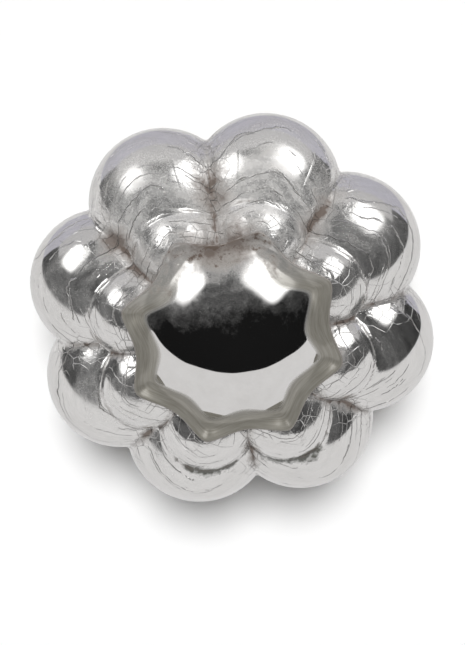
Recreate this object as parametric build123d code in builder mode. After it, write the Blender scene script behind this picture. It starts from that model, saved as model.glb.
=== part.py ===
from build123d import *
import os
from math import sqrt

os.makedirs("parts", exist_ok=True)

# A silvered-glass pole finial, in millimetres.
# +Z runs up the axis from the ferrule's mouth (z = 0) to the top of the glass dome.
# One bulb points along +X, and so does the set screw.

# ---- Driving dimensions: the blown glass ----
body_radius = 40.0  # axis to the tip of an outer bulb
lobe_count = 8
equator_z = 54.0  # height of the outer bulbs' centres
bulb_radius = 14.5
bulb_height = 11.6  # equator to the top of a bulb, which is flatter than its underside
tier_ring = 19.6  # axis to the centre of an inner-tier bulb
tier_rise = 6.0  # equator to that centre
tier_radius = 9.6
dome_radius = 24.0  # radius of the dome's sphere
dome_rise = 22.6  # equator to the top of the dome
core_radius = 17.6
core_drop = 12.0  # equator down to where the underside starts to close in
shoulder_drop = 15.0  # equator down to the top of the neck
neck_drop = 19.3  # equator down to the neck's open end
neck_radius = 8.0
glass_wall = 2.2
film_gap = 0.05  # glass to silver
film_thickness = 0.3

# ---- Driving dimensions: the star flange ----
star_rise = 16.6  # equator to the flange's top face
star_thickness = 1.4
star_ring = 11.6  # axis to the centre of one rounded point of the star
star_tip_radius = 20.6
cove_ring = 17.3  # centre line of the shallow gutter round the dome
cove_radius = 1.8
cove_depth = 0.8

# ---- Driving dimensions: the brass mount ----
pole_radius = 14.0
pole_clearance = 0.25
socket_depth = 24.0
ferrule_radius = 16.6
ferrule_floor = 2.5
ferrule_slope = 2.0  # height of the slope round the ferrule's closed end
ferrule_end_radius = 12.0
mouth_bead_radius = 17.6
mouth_bead_height = 3.0
mouth_bead_slope = 1.0
washer_radius = 11.0
washer_thickness = 1.2
sheet = 1.2  # brass sheet of the cup
cup_height = 12.8
cup_base_radius = 9.5
cup_mouth_radius = 17.6
cup_swell_inset = 1.9  # cup's mouth in to its wall, part of the way up
cup_swell_share = 0.42  # how far up that is
lip_wire = 0.9
bead_count = 44
bead_radius = 0.85
bead_drop = 3.0  # cup's mouth down to the bead ring
bead_stand = 0.3  # cup's mouth out to the beads' centres
bead_strip_stand = 0.4  # cup's mouth out to the face of the strip that carries them
bead_strip_depth = 1.4

# ---- Driving dimensions: fasteners and seals ----
screw_radius = 2.0
hole_clearance = 0.05
screw_head_radius = 4.0
countersink_angle = 90
slot_width = 0.9
slot_depth = 0.8
nut_across_flats = 7.0
nut_height = 3.2
screw_past_nut = 0.6
wax_thickness = 1.2
wax_rounding = 0.4
cork_clearance = 0.05
cork_length = 8.0
cork_taper = 0.3
set_screw_z = 9.0
set_screw_travel = 3.0
boss_radius = 4.2
boss_reach = 18.0  # axis to the boss's outer face
thumb_radius = 4.6
thumb_length = 5.0
thumb_chamfer = 0.4
thumb_gap = 0.4  # head to boss with the screw run fully in
flute_count = 16
flute_radius = 0.5
tip_recess = 0.15  # screw tip behind the socket wall with the screw backed out

# ---- Sizes that follow ----
bulb_ring = body_radius - bulb_radius
dome_centre_z = equator_z + dome_rise - dome_radius
star_top_z = equator_z + star_rise
star_lobe_radius = star_tip_radius - star_ring
neck_z = equator_z - neck_drop
bore_radius = pole_radius + pole_clearance
hole_radius = screw_radius + hole_clearance
washer_z = socket_depth + ferrule_floor
cup_z = washer_z + washer_thickness
cup_floor_z = cup_z + sheet
cup_mouth_z = cup_z + cup_height
nut_top_z = cup_floor_z + nut_height
screw_top_z = nut_top_z + screw_past_nut
wax_z = neck_z - wax_thickness
through = 1.0  # how far a cutting solid runs past a face


def dome_z(radius, inset):
    """Height of the dome's surface, moved inward by inset, at a distance from the axis."""
    return dome_centre_z + sqrt((dome_radius - inset) ** 2 - radius**2)


def outer_bulb(inset):
    """One outer bulb about its own centre: flattened above the equator, round below."""
    radius = bulb_radius - inset
    height = bulb_height - inset
    with BuildPart() as bulb:
        with BuildSketch(Plane.XZ):
            with BuildLine():
                Line((0, -radius), (0, height))
                EllipticalCenterArc((0, 0), radius, height, start_angle=0, arc_size=90)
                CenterArc((0, 0), radius, -90, 90)
            make_face()
        revolve(axis=Axis.Z)
    return bulb.part


def lobed_form(inset, neck_end_z):
    """The body's solid form with its walls moved inward by inset."""
    bulb = outer_bulb(inset)
    core = core_radius - inset
    neck = neck_radius - inset
    arc_mid = core / 2
    with BuildPart() as form:
        with BuildSketch(Plane.XZ):
            with BuildLine():
                Polyline(
                    (0, dome_centre_z + dome_radius - inset),
                    (0, neck_end_z),
                    (neck, neck_end_z),
                    (neck, equator_z - shoulder_drop + inset),
                    (core, equator_z - core_drop + inset),
                    (core, dome_z(core, inset)),
                )
                ThreePointArc(
                    (core, dome_z(core, inset)),
                    (arc_mid, dome_z(arc_mid, inset)),
                    (0, dome_centre_z + dome_radius - inset),
                )
            make_face()
        revolve(axis=Axis.Z)
        with Locations((0, 0, equator_z)):
            with PolarLocations(bulb_ring, lobe_count):
                add(bulb)
        with Locations((0, 0, equator_z + tier_rise)):
            with PolarLocations(tier_ring, lobe_count):
                Sphere(tier_radius - inset)
    return form.part


# ---- Glass body: one blown shell with an open neck ----
with BuildPart() as glass_body:
    add(lobed_form(0, neck_z))
    with BuildSketch(Plane.XY.offset(star_top_z)):
        with PolarLocations(star_ring, lobe_count):
            Circle(star_lobe_radius)
        Circle(star_ring)
    extrude(amount=-star_thickness)
    with BuildSketch(Plane.XZ):
        with Locations((cove_ring, star_top_z + cove_radius - cove_depth)):
            Circle(cove_radius)
    revolve(axis=Axis.Z, mode=Mode.SUBTRACT)
    with BuildSketch(Plane.XZ):
        with BuildLine():
            Polyline(
                (0, dome_centre_z),
                (cove_ring - cove_radius, dome_centre_z),
                (cove_ring - cove_radius, dome_z(cove_ring - cove_radius, 0)),
            )
            ThreePointArc(
                (cove_ring - cove_radius, dome_z(cove_ring - cove_radius, 0)),
                (star_ring / 2, dome_z(star_ring / 2, 0)),
                (0, equator_z + dome_rise),
            )
            Line((0, equator_z + dome_rise), (0, dome_centre_z))
        make_face()
    revolve(axis=Axis.Z)
    add(lobed_form(glass_wall, neck_z - through), mode=Mode.SUBTRACT)
glass_body.part.label = "glass_body"
export_step(glass_body.part, "parts/glass_body.step")

# ---- Silver lining: the mirror film on the inside of the glass, stopping at the neck ----
film_edge_z = equator_z - shoulder_drop + glass_wall + film_gap + film_thickness
with BuildPart() as silver_lining:
    add(lobed_form(glass_wall + film_gap, neck_z))
    add(lobed_form(glass_wall + film_gap + film_thickness, neck_z - through), mode=Mode.SUBTRACT)
    with Locations((0, 0, neck_z - through)):
        Cylinder(
            neck_radius,
            film_edge_z - neck_z + through,
            align=(Align.CENTER, Align.CENTER, Align.MIN),
            mode=Mode.SUBTRACT,
        )
silver_lining.part.label = "silver_lining"
export_step(silver_lining.part, "parts/silver_lining.step")

# ---- Cork: a slightly tapered plug in the neck ----
cork_radius = neck_radius - glass_wall - cork_clearance
with BuildPart() as neck_cork:
    with BuildSketch(Plane.XY.offset(neck_z)):
        Circle(cork_radius)
    with BuildSketch(Plane.XY.offset(neck_z + cork_length)):
        Circle(cork_radius - cork_taper)
    loft()
neck_cork.part.label = "neck_cork"
export_step(neck_cork.part, "parts/neck_cork.step")

# ---- Sealing wax: a disc over the cork and the glass edge ----
with BuildPart() as sealing_wax:
    with BuildSketch(Plane.XY.offset(wax_z)):
        Circle(neck_radius)
    extrude(amount=wax_thickness)
    fillet(sealing_wax.edges().group_by(Axis.Z)[0], wax_rounding)
sealing_wax.part.label = "sealing_wax"
export_step(sealing_wax.part, "parts/sealing_wax.step")

# ---- Ferrule: a turned brass socket with a beaded mouth and a screw boss ----
with BuildPart() as ferrule:
    with BuildSketch(Plane.XZ):
        with BuildLine():
            Polyline(
                (bore_radius, 0),
                (mouth_bead_radius, 0),
                (mouth_bead_radius, mouth_bead_height),
                (ferrule_radius, mouth_bead_height + mouth_bead_slope),
                (ferrule_radius, socket_depth - ferrule_slope),
                (ferrule_end_radius, washer_z),
                (0, washer_z),
                (0, socket_depth),
                (bore_radius, socket_depth),
                (bore_radius, 0),
            )
        make_face()
    revolve(axis=Axis.Z)
    with BuildSketch(Plane.YZ.offset(bore_radius)):
        with Locations((0, set_screw_z)):
            Circle(boss_radius)
    extrude(amount=boss_reach - bore_radius)
    Cylinder(
        bore_radius,
        socket_depth,
        align=(Align.CENTER, Align.CENTER, Align.MIN),
        mode=Mode.SUBTRACT,
    )
    with BuildSketch(Plane.YZ.offset(bore_radius - through)):
        with Locations((0, set_screw_z)):
            Circle(hole_radius)
    extrude(amount=boss_reach - bore_radius + 2 * through, mode=Mode.SUBTRACT)
    with Locations(Plane((0, 0, socket_depth), z_dir=(0, 0, -1))):
        CounterSinkHole(hole_radius, screw_head_radius + hole_clearance, ferrule_floor, countersink_angle)
ferrule.part.label = "ferrule"
export_step(ferrule.part, "parts/ferrule.step")

# ---- Leather washer between the ferrule and the cup ----
with BuildPart() as leather_washer:
    with BuildSketch(Plane.XY.offset(washer_z)):
        Circle(washer_radius)
        Circle(hole_radius, mode=Mode.SUBTRACT)
    extrude(amount=washer_thickness)
leather_washer.part.label = "leather_washer"
export_step(leather_washer.part, "parts/leather_washer.step")

# ---- Brass cup: spun sheet with a wired lip, under the glass ----
cup_swell = (cup_mouth_radius - cup_swell_inset, cup_z + cup_swell_share * cup_height)
cup_swell_inside = (cup_swell[0] - sheet, cup_swell[1] + sheet / 2)
with BuildPart() as brass_cup:
    with BuildSketch(Plane.XZ):
        with BuildLine():
            Polyline(
                (cup_mouth_radius - sheet, cup_mouth_z),
                (cup_mouth_radius, cup_mouth_z),
            )
            ThreePointArc((cup_mouth_radius, cup_mouth_z), cup_swell, (cup_base_radius, cup_z))
            Polyline(
                (cup_base_radius, cup_z),
                (hole_radius, cup_z),
                (hole_radius, cup_floor_z),
                (cup_base_radius, cup_floor_z),
            )
            ThreePointArc(
                (cup_base_radius, cup_floor_z),
                cup_swell_inside,
                (cup_mouth_radius - sheet, cup_mouth_z),
            )
        make_face()
    revolve(axis=Axis.Z)
    with BuildSketch(Plane.XZ):
        with Locations((cup_mouth_radius - sheet / 2, cup_mouth_z)):
            Circle(lip_wire)
    revolve(axis=Axis.Z)
brass_cup.part.label = "brass_cup"
export_step(brass_cup.part, "parts/brass_cup.step")

# ---- Bead ring: a band of half-round beads soldered round the cup ----
bead_z = cup_mouth_z - bead_drop
with BuildPart() as bead_ring:
    with Locations((0, 0, bead_z)):
        Cylinder(cup_mouth_radius + bead_strip_stand, bead_radius)
        with PolarLocations(cup_mouth_radius + bead_stand, bead_count):
            Sphere(bead_radius)
        Cylinder(
            cup_mouth_radius + bead_strip_stand - bead_strip_depth,
            2 * bead_radius + through,
            mode=Mode.SUBTRACT,
        )
    add(brass_cup.part, mode=Mode.SUBTRACT)
bead_ring.part.label = "bead_ring"
export_step(bead_ring.part, "parts/bead_ring.step")

# ---- Cup screw: countersunk in the ferrule's floor, pointing up ----
with BuildPart() as cup_screw:
    with BuildSketch(Plane.XZ):
        with BuildLine():
            Polyline(
                (0, socket_depth),
                (screw_head_radius, socket_depth),
                (screw_radius, socket_depth + screw_head_radius - screw_radius),
                (screw_radius, screw_top_z),
                (0, screw_top_z),
                (0, socket_depth),
            )
        make_face()
    revolve(axis=Axis.Z)
    with Locations((0, 0, socket_depth)):
        Box(2 * screw_head_radius, slot_width, 2 * slot_depth, mode=Mode.SUBTRACT)
cup_screw.part.label = "cup_screw"
export_step(cup_screw.part, "parts/cup_screw.step")

# ---- Nut inside the cup ----
with BuildPart() as cup_nut:
    with BuildSketch(Plane.XY.offset(cup_floor_z)):
        RegularPolygon(nut_across_flats / 2, 6, major_radius=False)
        Circle(hole_radius, mode=Mode.SUBTRACT)
    extrude(amount=nut_height)
cup_nut.part.label = "cup_nut"
export_step(cup_nut.part, "parts/cup_nut.step")

# ---- Plaster bed: fills the cup round the nut and the glass neck ----
bed_top_z = equator_z - shoulder_drop
with BuildPart() as plaster_bed:
    with BuildSketch(Plane.XZ):
        with BuildLine():
            Polyline(
                (0, bed_top_z),
                (0, cup_floor_z),
                (cup_mouth_radius, cup_floor_z),
                (cup_mouth_radius, bed_top_z),
                (0, bed_top_z),
            )
        make_face()
    revolve(axis=Axis.Z)
    with BuildSketch(Plane.XZ):
        with BuildLine():
            Polyline(
                (cup_mouth_radius - sheet, cup_mouth_z),
                (2 * cup_mouth_radius, cup_mouth_z),
                (2 * cup_mouth_radius, cup_floor_z - through),
                (cup_base_radius, cup_floor_z - through),
                (cup_base_radius, cup_floor_z),
            )
            ThreePointArc(
                (cup_base_radius, cup_floor_z),
                cup_swell_inside,
                (cup_mouth_radius - sheet, cup_mouth_z),
            )
        make_face()
    revolve(axis=Axis.Z, mode=Mode.SUBTRACT)
    with Locations((0, 0, wax_z)):
        Cylinder(
            neck_radius,
            bed_top_z - wax_z,
            align=(Align.CENTER, Align.CENTER, Align.MIN),
            mode=Mode.SUBTRACT,
        )
    with BuildSketch(Plane.XY.offset(cup_floor_z)):
        RegularPolygon(nut_across_flats / 2, 6, major_radius=False)
    extrude(amount=screw_top_z - cup_floor_z, mode=Mode.SUBTRACT)
plaster_bed.part.label = "plaster_bed"
export_step(plaster_bed.part, "parts/plaster_bed.step")

# ---- Set screw: a fluted thumb screw, shown backed out so that the socket is clear ----
tip_x = bore_radius + tip_recess
thumb_x = boss_reach + thumb_gap + set_screw_travel
with BuildPart() as set_screw:
    with BuildSketch(Plane.YZ.offset(tip_x)):
        with Locations((0, set_screw_z)):
            Circle(screw_radius)
    extrude(amount=thumb_x - tip_x)
    with BuildSketch(Plane.YZ.offset(thumb_x)):
        with Locations((0, set_screw_z)):
            Circle(thumb_radius)
            with PolarLocations(thumb_radius, flute_count):
                Circle(flute_radius, mode=Mode.SUBTRACT)
    extrude(amount=thumb_length)
    chamfer(set_screw.faces().sort_by(Axis.X)[0].edges(), thumb_chamfer)
set_screw.part.label = "set_screw"
export_step(set_screw.part, "parts/set_screw.step")
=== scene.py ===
from math import atan2, cos, hypot, pi, radians, sin, sqrt

import bmesh
import bpy
import numpy as np
from mathutils import Matrix, Vector


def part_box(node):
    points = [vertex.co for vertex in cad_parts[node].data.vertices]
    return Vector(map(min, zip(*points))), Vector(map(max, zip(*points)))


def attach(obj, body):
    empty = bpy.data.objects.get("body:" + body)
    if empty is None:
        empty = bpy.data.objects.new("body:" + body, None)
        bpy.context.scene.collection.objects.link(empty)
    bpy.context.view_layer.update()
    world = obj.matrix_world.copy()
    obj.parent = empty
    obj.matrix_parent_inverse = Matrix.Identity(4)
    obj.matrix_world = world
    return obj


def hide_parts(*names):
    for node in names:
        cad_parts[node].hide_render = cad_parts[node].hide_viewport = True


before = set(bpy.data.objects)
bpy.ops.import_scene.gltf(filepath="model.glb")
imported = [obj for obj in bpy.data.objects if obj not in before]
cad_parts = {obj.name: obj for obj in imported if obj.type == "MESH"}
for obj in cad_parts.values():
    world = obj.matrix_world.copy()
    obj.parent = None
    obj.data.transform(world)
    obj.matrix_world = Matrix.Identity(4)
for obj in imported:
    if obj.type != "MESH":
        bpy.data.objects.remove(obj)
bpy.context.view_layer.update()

# ---------------------------------------------------------------------------
# Driving sizes, from the frame
# ---------------------------------------------------------------------------
GLASS_LOW, GLASS_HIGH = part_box("glass_body")
R = (GLASS_HIGH.x - GLASS_LOW.x) / 2  # axis to the tip of an outer bulb
LOBES = 8
DOME_RISE = 0.565  # equator to the top of the dome, as a share of R
EQUATOR_Z = GLASS_HIGH.z - DOME_RISE * R
NECK_LOW = (GLASS_LOW.z - EQUATOR_Z) / R

# Shape of the blown glass, all as shares of R
BULB_RADIUS, BULB_SQUASH = 0.3625, 0.80
TIER_RING, TIER_RISE, TIER_RADIUS = 0.49, 0.15, 0.24
TIER_SHIFT, TIER_SHIFT_SIDE = 0.04, radians(-76)  # the tiers sit a little off centre
DOME_RADIUS = 0.60
STAR_RISE = 0.415
STAR_MEAN, STAR_WAVE = 0.492, 0.036
STAR_POINT = 0.20  # 0 gives sharp points
BAND_WIDTH = 0.120
BAND_SAG = 0.022
BAND_END_SLOPE = 0.35  # rise over run where the band meets the lip
LIP_ROUND = 0.006
LIP_OVERHANG = 0.020
PIVOT_RADIUS, PIVOT_RISE = 0.48, 0.08  # the ring that the rays which trace the body start from
LOBE_BLEND, TIER_LOBE_BLEND, TIER_BLEND = 0.030, 0.030, 0.018
VALLEY_REACH, SHELF_REACH = 0.07, 0.035  # how far from a crease its mark fades out
UNDER_RADIUS = 0.43
SHOULDER_RISE, NECK_RADIUS = -0.375, 0.2
SIZE_SPREAD = 0.012  # largest difference in a lobe's size, as a share of it
TURN_SPREAD = 1.2  # largest difference in a lobe's angle, in degrees

# Mesh density
COLUMNS_PER_LOBE = 64
DOME_ROWS, BAND_ROWS, LIP_ROWS, WALL_ROWS, BODY_ROWS, UNDER_ROWS = 36, 16, 5, 6, 96, 12


# ---------------------------------------------------------------------------
# Glass body
# ---------------------------------------------------------------------------
def smooth_max(a, b, width):
    """The larger of two distances, with the corner between them rounded over a width."""
    h = np.maximum(width - np.abs(a - b), 0.0) / width
    return np.maximum(a, b) + h * h * width / 4


def leave_circle(start_r, start_z, ray_r, ray_z, centre_r, centre_z, radius):
    """How far a ray in the meridian plane goes before it leaves a circle, or -1 where it misses."""
    to_r, to_z = centre_r - start_r, centre_z - start_z
    along = to_r * ray_r + to_z * ray_z
    inside = radius**2 - (to_r**2 + to_z**2 - along**2)
    return np.where(inside > 0, along + np.sqrt(np.maximum(inside, 0.0)), -1.0)


def leave_sphere(angle, ray_r, ray_z, lobe, ring, rise, radius, squash=1.0):
    """The same for a sphere in one lobe, flattened along the axis and cut by the meridian plane."""
    section = radius**2 - (ring * np.sin(angle - lobe)) ** 2
    tall_z = ray_z / squash
    stretch = np.sqrt(ray_r**2 + tall_z**2)
    reach = leave_circle(
        PIVOT_RADIUS,
        PIVOT_RISE / squash,
        ray_r / stretch,
        tall_z / stretch,
        ring * np.cos(angle - lobe),
        rise / squash,
        np.sqrt(np.maximum(section, 0.0)),
    )
    return np.where((section > 0) & (reach > 0), reach / stretch, -1.0)


def leave_bulb(angle, ray_r, ray_z, lobe, radius):
    """An outer bulb: flattened above the equator and round below."""
    shape = (angle, ray_r, ray_z, lobe, 1.0 - radius, 0.0, radius)
    above = leave_sphere(*shape, squash=BULB_SQUASH)
    below = leave_sphere(*shape)
    return np.where(PIVOT_RISE + above * ray_z > 0, above, below)


def lobe_angle(index):
    return index * 2 * pi / LOBES


def lobe_sizes():
    """Small differences from one hand-blown lobe to the next: size and angle."""
    rng = np.random.default_rng(11)
    swell = 1 + rng.uniform(-SIZE_SPREAD, SIZE_SPREAD, LOBES)
    turn = np.radians(rng.uniform(-TURN_SPREAD, TURN_SPREAD, LOBES))
    return swell, turn


def two_largest(values):
    """The largest and the second largest value at each point."""
    ordered = np.sort(np.stack(values), axis=0)
    return ordered[-1], ordered[-2]


def body_distance(angle, tilt):
    """Distance from the pivot ring to the blown surface, and how near each point is to a crease.

    A valley lies between two lobes, and a shelf between an inner bulb and its outer bulb.
    """
    ray_r, ray_z = np.sin(tilt), np.cos(tilt)
    swell, turn = lobe_sizes()
    bulbs, tiers = [], []
    for i in range(LOBES):
        lobe = lobe_angle(i) + turn[i]
        bulbs.append(leave_bulb(angle, ray_r, ray_z, lobe, BULB_RADIUS * swell[i]))
        x = TIER_RING * cos(lobe) + TIER_SHIFT * cos(TIER_SHIFT_SIDE)
        y = TIER_RING * sin(lobe) + TIER_SHIFT * sin(TIER_SHIFT_SIDE)
        radius = TIER_RADIUS * swell[i]
        tiers.append(
            leave_sphere(angle, ray_r, ray_z, atan2(y, x), hypot(x, y), TIER_RISE, radius)
        )
    first, second = two_largest(bulbs)
    tier_first, tier_second = two_largest(tiers)
    bulb = smooth_max(first, second, LOBE_BLEND)
    tier = smooth_max(tier_first, tier_second, TIER_LOBE_BLEND)
    gap = np.where(tier > bulb, tier_first - tier_second, first - second)
    valley = np.exp(-gap / VALLEY_REACH)
    shelf = np.exp(-np.abs(bulb - tier) / SHELF_REACH)
    return smooth_max(bulb, tier, TIER_BLEND), valley, shelf


def tilt_at_radius(angle, radius, low, high):
    """The ray tilt at which the blown surface stands at a radius, by halving the interval."""
    lo = np.full_like(angle, low)
    hi = np.full_like(angle, high)
    for _ in range(40):
        mid = (lo + hi) / 2
        reach = body_distance(angle, mid)[0]
        too_far = PIVOT_RADIUS + reach * np.sin(mid) > radius
        hi = np.where(too_far, mid, hi)
        lo = np.where(too_far, lo, mid)
    return (lo + hi) / 2


def star_radius(angle):
    """The star's edge: nearly pointed at each lobe, and rounded between them."""
    across = np.sin(LOBES / 2 * angle)
    top = sqrt(1 + STAR_POINT**2)
    share = (np.sqrt(across**2 + STAR_POINT**2) - STAR_POINT) / (top - STAR_POINT)
    return STAR_MEAN + STAR_WAVE * (1 - 2 * share)


def dome_height(radius):
    return DOME_RISE - DOME_RADIUS + np.sqrt(DOME_RADIUS**2 - radius**2)


def glass_rows(angle):
    """Rows of (radius, height, zone values) from the top of the dome to the neck's end.

    The zone lat runs from 0 at the foot of the star's wall to 1 at the underside. Across the band it
    runs from 0 to -1, and it is 0 on the dome, the lip and the wall.
    """
    rows = []
    star = star_radius(angle)
    zeros = np.zeros_like(angle)

    def add(radius, height, lat, valley=zeros, shelf=zeros, band=0.0, lip=0.0):
        marks = (valley, shelf, band + zeros, lip + zeros)
        rows.append((radius + zeros, height + zeros, lat + zeros, *marks))

    # Dome, with the star's waves growing towards its edge
    band_start = star - BAND_WIDTH
    for i in range(1, DOME_ROWS + 1):
        share = i / DOME_ROWS
        wave = share**3
        radius = share * (STAR_MEAN - BAND_WIDTH) * (1 - wave) + share * band_start * wave
        add(radius, dome_height(radius), 0.0)
    # Cove band, from the dome's edge down into a gutter and out to the lip
    start_height = dome_height(band_start)
    slope = -band_start / np.sqrt(DOME_RADIUS**2 - band_start**2)
    for i in range(1, BAND_ROWS + 1):
        t = i / BAND_ROWS
        h00 = 2 * t**3 - 3 * t**2 + 1
        h10 = t**3 - 2 * t**2 + t
        h01 = -2 * t**3 + 3 * t**2
        h11 = t**3 - t**2
        height = h00 * start_height + h10 * BAND_WIDTH * slope + h01 * STAR_RISE
        height = height + h11 * BAND_WIDTH * BAND_END_SLOPE - BAND_SAG * (t * (1 - t)) ** 2 * 6
        add(band_start + BAND_WIDTH * t, height, -t, band=min(1.0, 0.3 + 3.5 * t))
    # Lip: a small rounded edge
    for i in range(1, LIP_ROWS + 1):
        a = pi * i / LIP_ROWS
        add(
            star + LIP_ROUND * sin(a),
            STAR_RISE - LIP_ROUND * (1 - cos(a)),
            0.0,
            band=0.5,
            lip=1.0,
        )
    # Wall under the lip, undercut, down to the inner tier
    wall = star - LIP_OVERHANG
    tilt_top = tilt_at_radius(angle, wall, radians(-40), radians(30))
    foot = PIVOT_RISE + body_distance(angle, tilt_top)[0] * np.cos(tilt_top)
    wall_top = STAR_RISE - 2 * LIP_ROUND
    for i in range(1, WALL_ROWS + 1):
        t = i / WALL_ROWS
        radius = star + (wall - star) * min(1.0, 1.6 * t)
        add(
            radius,
            wall_top + (foot - wall_top) * t**1.3,
            0.0,
            valley=zeros + 0.9 * t,
            band=0.3,
            lip=0.4 * (1 - t),
        )
    # Inner tier and outer bulbs
    tilt_end = tilt_at_radius(angle, UNDER_RADIUS, radians(210), radians(150))
    for i in range(1, BODY_ROWS + 1):
        t = i / BODY_ROWS
        tilt = tilt_top + (tilt_end - tilt_top) * t
        reach, valley, shelf = body_distance(angle, tilt)
        near_wall = np.exp(-i / 5.0)
        add(
            PIVOT_RADIUS + reach * np.sin(tilt),
            PIVOT_RISE + reach * np.cos(tilt),
            t,
            valley=np.maximum(valley, near_wall * 0.8),
            shelf=shelf,
        )
    # Underside, drawn in to the neck
    radius_end = PIVOT_RADIUS + reach * np.sin(tilt)
    height_end = PIVOT_RISE + reach * np.cos(tilt)
    for i in range(1, UNDER_ROWS + 1):
        t = i / UNDER_ROWS
        radius = radius_end + (NECK_RADIUS - radius_end) * t
        height = height_end + (SHOULDER_RISE - height_end) * (1 - (1 - t) ** 2)
        add(radius, height, 1.0, valley=zeros + 0.3)
    add(NECK_RADIUS, (SHOULDER_RISE + NECK_LOW) / 2, 1.0)
    add(NECK_RADIUS, NECK_LOW, 1.0)
    return rows


def glass_mesh():
    """The blown glass as one closed grid of rings round the axis, capped on the axis at both ends."""
    columns = LOBES * COLUMNS_PER_LOBE
    angle = np.arange(columns) * 2 * pi / columns
    rows = glass_rows(angle)
    radius = np.array([row[0] for row in rows])
    height = np.array([row[1] for row in rows])
    points = np.stack([radius * np.cos(angle), radius * np.sin(angle), height], axis=-1)
    points = points.reshape(-1, 3)
    top = np.array([[0, 0, DOME_RISE]])
    bottom = np.array([[0, 0, NECK_LOW]])
    points = np.concatenate([points, top, bottom]) * R
    points[:, 2] += EQUATOR_Z
    count = len(rows)
    ring = np.arange(columns)
    after = (ring + 1) % columns
    faces = []
    for i in range(count - 1):
        a, b = i * columns, (i + 1) * columns
        faces += np.stack([a + ring, b + ring, b + after, a + after], axis=-1).tolist()
    top_index, bottom_index = count * columns, count * columns + 1
    last = (count - 1) * columns
    faces += [[top_index, int(j), int(k)] for j, k in zip(ring, after)]
    faces += [[bottom_index, int(last + k), int(last + j)] for j, k in zip(ring, after)]
    mesh = bpy.data.meshes.new("glass_body_blown")
    mesh.from_pydata(points.tolist(), [], faces)
    mesh.polygons.foreach_set("use_smooth", [True] * len(mesh.polygons))
    names = ("lat", "valley", "shelf", "band", "lip")
    for column, name in enumerate(names, start=2):
        values = np.concatenate([np.array([row[column] for row in rows]).reshape(-1), [0.0, 0.0]])
        layer = mesh.attributes.new(name, "FLOAT", "POINT")
        layer.data.foreach_set("value", values.astype(np.float32))
    around = np.concatenate([np.tile(angle, count), [0.0, 0.0]])
    ring_place = np.stack([np.cos(around), np.sin(around), np.zeros_like(around)], axis=-1)
    layer = mesh.attributes.new("around", "FLOAT_VECTOR", "POINT")
    layer.data.foreach_set("vector", ring_place.astype(np.float32).reshape(-1))
    mesh.update()
    return mesh


# ---------------------------------------------------------------------------
# Node helpers
# ---------------------------------------------------------------------------
class Graph:
    """A material's node tree, with short calls to add and join nodes."""

    def __init__(self, name):
        self.material = bpy.data.materials.new(name)
        self.material.use_nodes = True
        self.tree = self.material.node_tree
        self.shader = self.tree.nodes["Principled BSDF"]

    def add(self, kind, inputs=None, **settings):
        node = self.tree.nodes.new(kind)
        for key, value in settings.items():
            setattr(node, key, value)
        for key, value in (inputs or {}).items():
            self.put(node.inputs[key], value)
        return node

    def put(self, socket, value):
        if isinstance(value, bpy.types.NodeSocket):
            self.tree.links.new(value, socket)
        else:
            socket.default_value = value

    def maths(self, operation, a, b=0.0, c=0.0, clamp=False):
        node = self.add("ShaderNodeMath", operation=operation, use_clamp=clamp)
        for socket, value in zip(node.inputs, (a, b, c)):
            self.put(socket, value)
        return node.outputs[0]

    def attribute(self, name, output="Fac"):
        return self.add("ShaderNodeAttribute", attribute_name=name).outputs[output]

    def noise(self, vector, scale, detail=3.0, roughness=0.55):
        inputs = {"Vector": vector, "Scale": scale, "Detail": detail, "Roughness": roughness}
        return self.add("ShaderNodeTexNoise", inputs).outputs["Fac"]

    def ramp(self, value, *stops):
        """Maps a value through (position, level) stops."""
        node = self.add("ShaderNodeValToRGB", {"Fac": value})
        elements = node.color_ramp.elements
        while len(elements) < len(stops):
            elements.new(0.5)
        for element, (position, level) in zip(elements, stops):
            element.position = position
            element.color = (level, level, level, 1.0)
        return node.outputs["Color"]

    def mix(self, factor, a, b):
        node = self.add("ShaderNodeMix", data_type="RGBA")
        self.put(node.inputs["Factor"], factor)
        colour_inputs = [s for s in node.inputs if s.type == "RGBA"]
        for socket, value in zip(colour_inputs, (a, b)):
            if isinstance(value, tuple):
                value = (*value, 1.0)
            self.put(socket, value)
        return [s for s in node.outputs if s.type == "RGBA"][0]

    def reach(self, place, azimuth):
        """How far a place lies from the axis towards one side."""
        node = self.add("ShaderNodeVectorMath", operation="DOT_PRODUCT")
        self.put(node.inputs[0], place)
        self.put(node.inputs[1], (cos(azimuth), sin(azimuth), 0.0))
        return node.outputs["Value"]

    def bump(self, height, strength, distance, normal=None):
        inputs = {"Height": height, "Strength": strength, "Distance": distance}
        if normal is not None:
            inputs["Normal"] = normal
        return self.add("ShaderNodeBump", inputs).outputs["Normal"]

    def set(self, **values):
        for key, value in values.items():
            self.put(self.shader.inputs[key.replace("_", " ")], value)


def object_coordinates(graph):
    """Object coordinates in units of R, so that texture scales read as details per radius."""
    source = graph.add("ShaderNodeTexCoord").outputs["Object"]
    node = graph.add("ShaderNodeVectorMath", operation="SCALE")
    graph.put(node.inputs[0], source)
    graph.put(node.inputs["Scale"], 1.0 / R)
    return node.outputs[0]


# ---------------------------------------------------------------------------
# Materials
# ---------------------------------------------------------------------------
# Cracks on the worn side get a painted glint, and the fold opposite it a painted shade
WORN_SIDE = radians(112.5)  # the side where most of the silver has failed
CLOUDED_SIDE = radians(228)  # a side where it has only clouded
# Brown stains: side, distance from the axis, height over the equator and size, as shares of R
STAINS = (
    (116, 0.46, 0.39, 0.20),
    (104, 0.48, 0.39, 0.18),
    (112, 0.66, 0.27, 0.13),
    (158, 0.55, 0.36, 0.12),
    (157, 0.68, 0.20, 0.11),
    (67, 0.62, 0.26, 0.10),
)
CRACK_LINES = 17  # latitudes with cracks, from the star's wall to the underside

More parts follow.
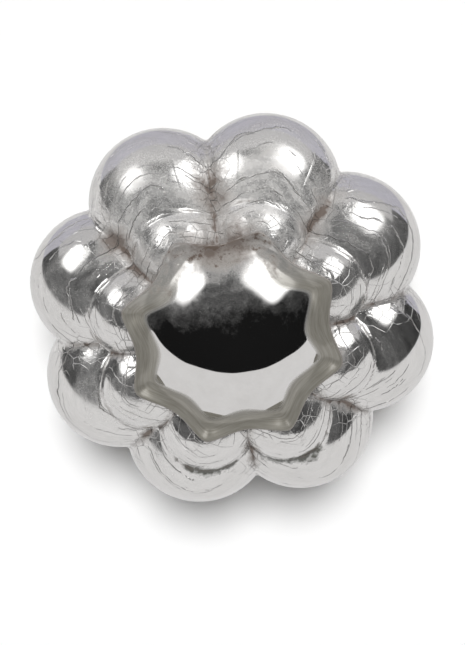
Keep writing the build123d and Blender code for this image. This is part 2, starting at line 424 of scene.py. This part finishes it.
BRIGHT_SILVER, DULL_SILVER = (0.89, 0.882, 0.868), (0.68, 0.665, 0.645)
DARK_BAND, PALE_BAND = (0.26, 0.245, 0.210), (0.36, 0.345, 0.305)
# Painted shade for the fold opposite the worn side
OLIVE_PAINTED_SHADE = (0.040, 0.043, 0.030)
TARNISH = (0.082, 0.053, 0.037)
# Crack tones: dark, and pale as a painted glint
DARK_CRACK, PALE_CRACK_GLINT = (0.12, 0.09, 0.07), (0.82, 0.79, 0.74)


def crack_lines(g, place, lat, around, count, wander, width, keep):
    """Thin cracks along the latitudes: each wanders, and breaks up into dashes."""
    drift = g.maths("MULTIPLY", g.noise(place, 2.6, 4.0, 0.6), wander)
    level = g.maths("MULTIPLY_ADD", lat, count, drift)
    number = g.maths("FLOOR", level)
    off_line = g.maths("ABSOLUTE", g.maths("SUBTRACT", g.maths("FRACT", level), 0.5))
    line = g.ramp(off_line, (0.0, 1.0), (width, 0.0))
    own = g.add("ShaderNodeCombineXYZ", {"Z": g.maths("MULTIPLY", number, 3.7)}).outputs[0]
    spot = g.add("ShaderNodeVectorMath", operation="ADD")
    g.put(spot.inputs[0], around)
    g.put(spot.inputs[1], own)
    here = g.ramp(g.noise(spot.outputs[0], 1.6, 3.0, 0.7), (keep, 0.0), (keep + 0.04, 1.0))
    return g.maths("MULTIPLY", line, here)


def silvered_glass():
    g = Graph("silvered_glass")
    place = object_coordinates(g)
    around = g.attribute("around", "Vector")
    lat = g.attribute("lat")
    valley = g.attribute("valley")
    shelf = g.attribute("shelf")
    band_zone = g.attribute("band")
    lip = g.attribute("lip")
    towards = g.reach(place, WORN_SIDE)
    worn = g.ramp(towards, (0.05, 0.0), (0.62, 1.0))
    band = g.maths("MULTIPLY", band_zone, g.ramp(towards, (0.20, 1.0), (0.42, 0.30)))
    on_body = g.ramp(lat, (0.015, 0.0), (0.04, 1.0))

    # Cracks in the silver along the latitudes, and a fine net in the creases
    long_cracks = crack_lines(g, place, lat, around, CRACK_LINES, 2.4, 0.036, 0.52)
    fine_cracks = crack_lines(g, place, lat, around, CRACK_LINES * 2.3, 3.4, 0.060, 0.57)
    cells = g.add(
        "ShaderNodeTexVoronoi",
        {"Vector": place, "Scale": 14.0, "Randomness": 1.0},
        feature="DISTANCE_TO_EDGE",
    ).outputs["Distance"]
    net = g.maths("MULTIPLY", g.ramp(cells, (0.0, 0.6), (0.02, 0.0)), valley)
    cracks = g.maths("MAXIMUM", long_cracks, g.maths("MULTIPLY", fine_cracks, 0.6))
    cracks = g.maths("MULTIPLY", g.maths("MAXIMUM", cracks, net), on_body)

    # Tarnish: brown where the silver has failed, widest in the creases of the worn side
    patch = g.noise(place, 5.0, 6.0, 0.65)
    push = g.maths("MULTIPLY_ADD", patch, 1.5, -0.75)
    wide = g.maths("POWER", valley, g.maths("MULTIPLY_ADD", worn, -0.75, 1.15))
    seam = g.maths("MULTIPLY", g.maths("POWER", shelf, 3.0), 0.6)
    crease = g.maths("MAXIMUM", wide, seam)
    inner = g.ramp(lat, (0.05, 0.75), (0.22, 1.05), (0.36, 1.0), (0.47, 0.45))
    grit = g.maths("MULTIPLY_ADD", g.noise(place, 26.0, 4.0, 0.7), 0.9, -0.45)
    depth = g.maths("ADD", g.maths("MULTIPLY_ADD", crease, inner, push), grit)
    amount = g.ramp(depth, (0.34, 0.0), (0.90, 0.92))
    worn_band = g.maths("MULTIPLY", band_zone, worn)
    rim = g.maths("ADD", g.maths("MULTIPLY_ADD", worn_band, 0.9, push), grit)
    amount = g.maths("MAXIMUM", amount, g.ramp(rim, (0.42, 0.0), (0.75, 0.95)))
    amount = g.maths("MAXIMUM", amount, g.maths("MULTIPLY", lip, 0.75))

    for azimuth, reach, rise, size in STAINS:
        angle = radians(azimuth)
        spot = g.add("ShaderNodeVectorMath", operation="DISTANCE")
        g.put(spot.inputs[0], place)
        g.put(spot.inputs[1], (reach * cos(angle), reach * sin(angle), EQUATOR_Z / R + rise))
        edge = g.maths("ADD", g.maths("MULTIPLY_ADD", spot.outputs["Value"], 1 / size, grit), push)
        amount = g.maths("MAXIMUM", amount, g.ramp(edge, (0.20, 0.88), (0.60, 0.45), (1.0, 0.0)))

    # Painted shade: a dark olive-grey strip in the fold of the lobes opposite the worn side, standing in
    # for the dark reflection in that crease
    opposite = g.ramp(g.maths("MULTIPLY", towards, -1.0), (0.45, 0.0), (0.75, 1.0))
    fold_painted_shade = g.maths("MULTIPLY", g.maths("POWER", shelf, 0.8), opposite)
    fold_painted_shade = g.ramp(g.maths("ADD", g.maths("ADD", fold_painted_shade, push), grit), (0.50, 0.0), (0.75, 0.95))
    # The star's band: streaked grey glass
    streak_rise = g.add("ShaderNodeCombineXYZ", {"Z": g.maths("MULTIPLY", lat, 9.0)}).outputs[0]
    streak_place = g.add("ShaderNodeVectorMath", operation="MULTIPLY_ADD")
    g.put(streak_place.inputs[0], around)
    g.put(streak_place.inputs[1], (2.0, 2.0, 2.0))
    g.put(streak_place.inputs[2], streak_rise)
    streaks = g.noise(streak_place.outputs[0], 2.0, 4.0, 0.6)
    bare = g.mix(g.ramp(streaks, (0.35, 0.0), (0.65, 1.0)), DARK_BAND, PALE_BAND)

    # Colour: clouded silver, with the band, the painted shade in the fold, tarnish and cracks (pale as a
    # painted glint on the worn side) laid over it in turn
    cloud = g.ramp(g.noise(place, 4.0, 7.0, 0.75), (0.38, 0.0), (0.64, 1.0))
    arcs = g.maths("MULTIPLY", g.ramp(streaks, (0.40, 0.0), (0.62, 1.0)), on_body)
    share = g.maths("MULTIPLY_ADD", on_body, -0.60, 1.0)
    cloud = g.maths("MULTIPLY_ADD", cloud, share, g.maths("MULTIPLY", arcs, 0.60))
    dull = g.maths("MULTIPLY", cloud, g.maths("MULTIPLY_ADD", worn, 0.65, 0.35))
    silver = g.mix(dull, BRIGHT_SILVER, DULL_SILVER)
    silver = g.mix(band, silver, bare)
    # Painted shade in the fold
    silver = g.mix(fold_painted_shade, silver, OLIVE_PAINTED_SHADE)
    silver = g.mix(amount, silver, TARNISH)
    # Cracks: pale as a painted glint on the worn side, dark elsewhere
    crack_tone_and_glint = g.mix(worn, DARK_CRACK, PALE_CRACK_GLINT)
    silver = g.mix(g.maths("MULTIPLY", cracks, 0.5), silver, crack_tone_and_glint)

    # Haze: the film is dull in patches, most of all round the worn side, and speckled
    speckle = g.ramp(g.noise(place, 170.0, 0.0, 0.5), (0.45, 0.6), (0.70, 1.0))
    ragged = g.maths("MULTIPLY_ADD", g.noise(place, 9.0, 8.0, 0.8), 0.40, -0.20)
    on_dome = g.ramp(g.maths("ADD", towards, ragged), (0.10, 0.0), (0.34, 1.0))
    clouded = g.ramp(g.reach(place, CLOUDED_SIDE), (0.38, 0.0), (0.66, 0.55))
    low = g.ramp(lat, (0.32, 1.0), (0.47, 0.18))
    on_lobes = g.maths("MULTIPLY", g.maths("MAXIMUM", g.maths("POWER", worn, 2.0), clouded), low)
    near_worn = g.mix(on_body, on_dome, on_lobes)
    on_tier = g.ramp(lat, (0.015, 0.0), (0.03, 0.20), (0.30, 0.15), (0.42, 0.0))
    base = g.maths("MULTIPLY_ADD", on_body, 0.22, on_tier)
    cover = g.maths("MULTIPLY_ADD", near_worn, 0.75, base, clamp=True)
    haze = g.maths("MULTIPLY", g.maths("MULTIPLY_ADD", cloud, 0.75, 0.25), cover)
    milky = g.maths("MULTIPLY_ADD", g.maths("MULTIPLY", worn, on_body), -0.50, -0.50)
    dust = g.maths("MULTIPLY", haze, speckle)
    rough = g.maths("MULTIPLY_ADD", haze, 0.38, 0.035)
    rough = g.maths("MAXIMUM", rough, g.maths("MULTIPLY", band, 0.36))
    rough = g.maths("MAXIMUM", rough, g.maths("MULTIPLY", amount, 0.55))
    metal = g.maths("MULTIPLY_ADD", dust, milky, 0.995)
    metal = g.maths("MULTIPLY_ADD", band, -0.55, metal)
    # Less metal in the worn side's cracks, so their painted glint shows
    metal = g.maths("MULTIPLY_ADD", g.maths("MULTIPLY", cracks, worn), -0.6, metal)
    # Tarnish and the painted shade in the fold lose their metal
    metal = g.maths("MULTIPLY_ADD", g.maths("MAXIMUM", amount, fold_painted_shade), -0.9, metal, clamp=True)

    # Relief: slow waves in the blown wall, ripples in the creases, and the cracks
    waves = g.noise(place, 2.2, 2.0)
    normal = g.bump(waves, 0.25, 0.0012)
    ripples = g.maths("MULTIPLY", g.noise(place, 11.0, 4.0), crease)
    normal = g.bump(ripples, 0.6, 0.0012, normal)
    normal = g.bump(cracks, 1.0, 0.0005, normal)

    g.set(Base_Color=silver, Metallic=metal, Roughness=rough, Normal=normal)
    g.set(Coat_Weight=0.7, Coat_Roughness=0.02, Coat_IOR=1.5)
    return g.material


def aged_brass(name, tone):
    g = Graph(name)
    place = object_coordinates(g)
    patch = g.noise(place, 6.0, 6.0, 0.6)
    fine = g.noise(place, 60.0, 3.0)
    dark = tuple(0.45 * c for c in tone)
    colour = g.mix(g.ramp(patch, (0.4, 0.0), (0.7, 1.0)), tone, dark)
    rough = g.ramp(g.noise(place, 22.0, 5.0), (0.3, 0.22), (0.75, 0.48))
    g.set(Base_Color=colour, Metallic=1.0, Roughness=rough, Normal=g.bump(fine, 0.12, 0.0002))
    return g.material


def grained(name, light, dark, scale, roughness, bump):
    """A matte material with two tones of grain and a matching bump."""
    g = Graph(name)
    place = object_coordinates(g)
    grain = g.noise(place, scale, 6.0, 0.65)
    colour = g.mix(g.ramp(grain, (0.35, 0.0), (0.65, 1.0)), light, dark)
    rough = g.ramp(grain, (0.2, roughness - 0.08), (0.8, roughness + 0.08))
    g.set(Base_Color=colour, Roughness=rough, Normal=g.bump(grain, bump, 0.0003))
    return g.material


def turned_steel():
    g = Graph("turned_steel")
    place = object_coordinates(g)
    streak = g.noise(place, 40.0, 3.0)
    colour = g.mix(streak, (0.50, 0.49, 0.47), (0.60, 0.59, 0.57))
    g.set(Base_Color=colour, Metallic=1.0, Roughness=g.ramp(streak, (0.3, 0.25), (0.7, 0.42)))
    return g.material


def dress_cad_nodes():
    brass = aged_brass("aged_brass", (0.62, 0.44, 0.20))
    trim = aged_brass("bright_brass", (0.74, 0.55, 0.27))
    steel = turned_steel()
    finishes = {
        "silver_lining": grained("backing_varnish", (0.42, 0.40, 0.37), (0.20, 0.16, 0.13), 8, 0.5, 0.2),
        "neck_cork": grained("cut_cork", (0.60, 0.42, 0.25), (0.30, 0.18, 0.10), 18, 0.8, 0.6),
        "sealing_wax": grained("sealing_wax", (0.36, 0.05, 0.04), (0.22, 0.03, 0.03), 10, 0.35, 0.2),
        "plaster_bed": grained("plaster", (0.86, 0.83, 0.77), (0.72, 0.68, 0.60), 25, 0.85, 0.4),
        "leather_washer": grained("leather", (0.32, 0.18, 0.10), (0.18, 0.09, 0.05), 45, 0.55, 0.5),
        "brass_cup": brass,
        "ferrule": brass,
        "bead_ring": trim,
        "set_screw": trim,
        "cup_screw": steel,
        "cup_nut": steel,
    }
    for node, material in finishes.items():
        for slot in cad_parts[node].material_slots:
            slot.material = material


# ---------------------------------------------------------------------------
# Stage: floor, light cards, lights and camera
# ---------------------------------------------------------------------------
AXIS_LEAN = radians(17.7)  # between the view direction and the object's axis
ROLL = radians(14)  # image right, as an angle round the axis
RIGHT = Vector((cos(ROLL), sin(ROLL), 0))
UP = Vector((-sin(ROLL) * cos(AXIS_LEAN), cos(ROLL) * cos(AXIS_LEAN), -sin(AXIS_LEAN)))
TOWARDS = Vector((-sin(ROLL) * sin(AXIS_LEAN), cos(ROLL) * sin(AXIS_LEAN), cos(AXIS_LEAN)))
CENTRE = Vector((0, 0, EQUATOR_Z))

# Softboxes: name, place and lean as seen() takes them, width and height in units of R
SOFTBOXES = (
    ("card_softbox_left", (-0.65, 0.36, 0.66), (-0.15, 0.75, 0.65), 6, 7),
    ("card_softbox_right", (0.50, 0.46, 0.73), (-0.55, 0.60, 0.25), 8, 9),
)
SOFTBOX_DISTANCE = 11  # in units of R
SOFTBOX_STRENGTH, SOFTBOX_FADE = 2.2, 0.4
FLOOR_REACH, SURROUND_RADIUS = 60, 58  # in units of R
KEY_LEAN, KEY_STRENGTH, KEY_SPREAD = 0.50, 3.35, radians(12)
FILL_STRENGTH, FILL_SPREAD = 0.45, radians(120)
CAMERA_DISTANCE = 10  # in units of R
AIM_DROP = 0.05  # in units of R, image down from the equator's centre
LENS_MM, SENSOR_MM = 114.4, 36


def seen(right, up, towards):
    """A direction or offset given as image right, image up and towards the camera."""
    return RIGHT * right + UP * up + TOWARDS * towards


def emission(name, colour, strength, fade=0.0, half_width=1.0, half_height=1.0):
    """A glowing material. With a fade, it thins out over that share of the way in from a card's edges."""
    material = bpy.data.materials.new(name)
    material.use_nodes = True
    nodes, links = material.node_tree.nodes, material.node_tree.links
    nodes.clear()
    glow = nodes.new("ShaderNodeEmission")
    glow.inputs["Color"].default_value = (*colour, 1.0)
    glow.inputs["Strength"].default_value = strength
    out = nodes.new("ShaderNodeOutputMaterial")
    if not fade:
        links.new(glow.outputs[0], out.inputs["Surface"])
        return material
    place = nodes.new("ShaderNodeTexCoord")
    share = nodes.new("ShaderNodeVectorMath")
    share.operation = "DIVIDE"
    links.new(place.outputs["Object"], share.inputs[0])
    share.inputs[1].default_value = (half_width, half_height, 1.0)
    corner = nodes.new("ShaderNodeVectorMath")
    corner.operation = "MULTIPLY"
    links.new(share.outputs[0], corner.inputs[0])
    links.new(share.outputs[0], corner.inputs[1])
    reach = nodes.new("ShaderNodeVectorMath")
    reach.operation = "LENGTH"
    links.new(corner.outputs[0], reach.inputs[0])
    edge = nodes.new("ShaderNodeMapRange")
    edge.interpolation_type = "SMOOTHSTEP"
    edge.inputs["From Min"].default_value = 1.0
    edge.inputs["From Max"].default_value = (1 - fade) ** 2
    links.new(reach.outputs["Value"], edge.inputs["Value"])
    clear = nodes.new("ShaderNodeBsdfTransparent")
    blend = nodes.new("ShaderNodeMixShader")
    links.new(edge.outputs["Result"], blend.inputs["Fac"])
    links.new(clear.outputs[0], blend.inputs[1])
    links.new(glow.outputs[0], blend.inputs[2])
    links.new(blend.outputs[0], out.inputs["Surface"])
    return material


def rectangle(name, half_width, half_height):
    """A flat rectangle on its own XY plane."""
    corners = [(-1, -1), (1, -1), (1, 1), (-1, 1)]
    mesh = bpy.data.meshes.new(name)
    mesh.from_pydata([(x * half_width, y * half_height, 0) for x, y in corners], [], [(0, 1, 2, 3)])
    obj = bpy.data.objects.new(name, mesh)
    bpy.context.collection.objects.link(obj)
    return obj


def card(name, centre, normal, width, height, colour, strength, up, fade=0.0):
    """A flat glowing card that only reflections see."""
    normal = normal.normalized()
    side = up.cross(normal).normalized()
    lift = normal.cross(side)
    obj = rectangle(name, width / 2, height / 2)
    rotation = Matrix((side, lift, normal)).transposed()
    obj.matrix_world = Matrix.Translation(centre) @ rotation.to_4x4()
    obj.data.materials.append(emission(name, colour, strength, fade, width / 2, height / 2))
    obj.visible_camera = False
    obj.visible_diffuse = False
    obj.visible_shadow = False


def stage_cards():
    """What the mirror sees: a white table, a backdrop, a ceiling and two softboxes in a dark room."""
    table_up = seen(0, 0.643, 0.766)  # 40 degrees from the view direction
    table_drop = 1.10 * R  # far enough to clear the ferrule
    front = seen(0, -0.766, 0.643)  # along the table, towards the photographer
    reach_front, reach_back = 7.0 * R, 9 * R
    middle = CENTRE - table_up * table_drop + front * (reach_front - reach_back) / 2
    length = reach_front + reach_back
    card("card_table", middle, table_up, 40 * R, length, (0.86, 0.85, 0.85), 0.80, up=front)
    backdrop = CENTRE - front * 9 * R + table_up * 4 * R
    card("card_backdrop", backdrop, front, 40 * R, 12 * R, (0.66, 0.65, 0.74), 0.66, up=table_up)
    ceiling = CENTRE + table_up * 16 * R - front * 14 * R
    card("card_ceiling", ceiling, -table_up, 60 * R, 24 * R, (0.80, 0.79, 0.80), 0.55, up=front)
    white = (1, 1, 1)
    for name, place, lean, width, height in SOFTBOXES:
        outward = seen(*place)
        centre = CENTRE + outward * SOFTBOX_DISTANCE * R
        size = (width * R, height * R)
        card(name, centre, -outward, *size, white, SOFTBOX_STRENGTH, seen(*lean), SOFTBOX_FADE)


def make_floor():
    floor = rectangle("floor", FLOOR_REACH * R, FLOOR_REACH * R)
    g = Graph("floor_paper")
    g.set(Base_Color=(0.92, 0.92, 0.92, 1.0), Roughness=0.9)
    floor.data.materials.append(g.material)
    floor.visible_glossy = False


def make_backdrop():
    """A pale surround that only the camera sees, above the floor's far edge."""
    mesh = bpy.data.meshes.new("surround")
    shell = bmesh.new()
    bmesh.ops.create_icosphere(shell, subdivisions=3, radius=SURROUND_RADIUS * R)
    shell.to_mesh(mesh)
    shell.free()
    surround = bpy.data.objects.new("surround", mesh)
    bpy.context.collection.objects.link(surround)
    mesh.materials.append(emission("surround", (1, 1, 1), 0.95))
    for flag in ("visible_diffuse", "visible_glossy", "visible_shadow", "visible_transmission"):
        setattr(surround, flag, False)


def distant_light(name, from_direction, strength, spread):
    """Even light from one side, as soft as its spread is wide."""
    light = bpy.data.lights.new(name, "SUN")
    light.energy = strength
    light.angle = spread
    obj = bpy.data.objects.new(name, light)
    obj.rotation_mode = "QUATERNION"
    obj.rotation_quaternion = from_direction.to_track_quat("Z", "Y")
    bpy.context.collection.objects.link(obj)
    obj.visible_glossy = False
    obj.visible_camera = False


def make_lights():
    away = Vector((UP.x, UP.y, 0)).normalized()
    overhead = Vector((0, 0, 1))
    distant_light("key", away * KEY_LEAN + overhead, KEY_STRENGTH, KEY_SPREAD)
    distant_light("fill", overhead, FILL_STRENGTH, FILL_SPREAD)
    world = bpy.data.worlds.new("room")
    bpy.context.scene.world = world
    world.use_nodes = True
    background = world.node_tree.nodes["Background"]
    background.inputs["Color"].default_value = (0.30, 0.30, 0.31, 1)
    background.inputs["Strength"].default_value = 0.015


def make_camera():
    data = bpy.data.cameras.new("camera")
    camera = bpy.data.objects.new("camera", data)
    bpy.context.collection.objects.link(camera)
    data.sensor_width = SENSOR_MM
    data.lens = LENS_MM
    data.clip_start, data.clip_end = 0.01, 20
    aim = CENTRE - UP * AIM_DROP * R
    place = aim + TOWARDS * (CAMERA_DISTANCE * R)
    rotation = Matrix((RIGHT, UP, TOWARDS)).transposed()
    camera.matrix_world = Matrix.Translation(place) @ rotation.to_4x4()
    bpy.context.scene.camera = camera


# ---------------------------------------------------------------------------
# Build
# ---------------------------------------------------------------------------
glass = bpy.data.objects.new("glass_body_blown", glass_mesh())
bpy.context.collection.objects.link(glass)
glass.data.materials.append(silvered_glass())
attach(glass, "finial")
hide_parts("glass_body")

dress_cad_nodes()
stage_cards()
make_floor()
make_backdrop()
make_lights()
make_camera()

scene = bpy.context.scene
scene.view_settings.view_transform = "Standard"
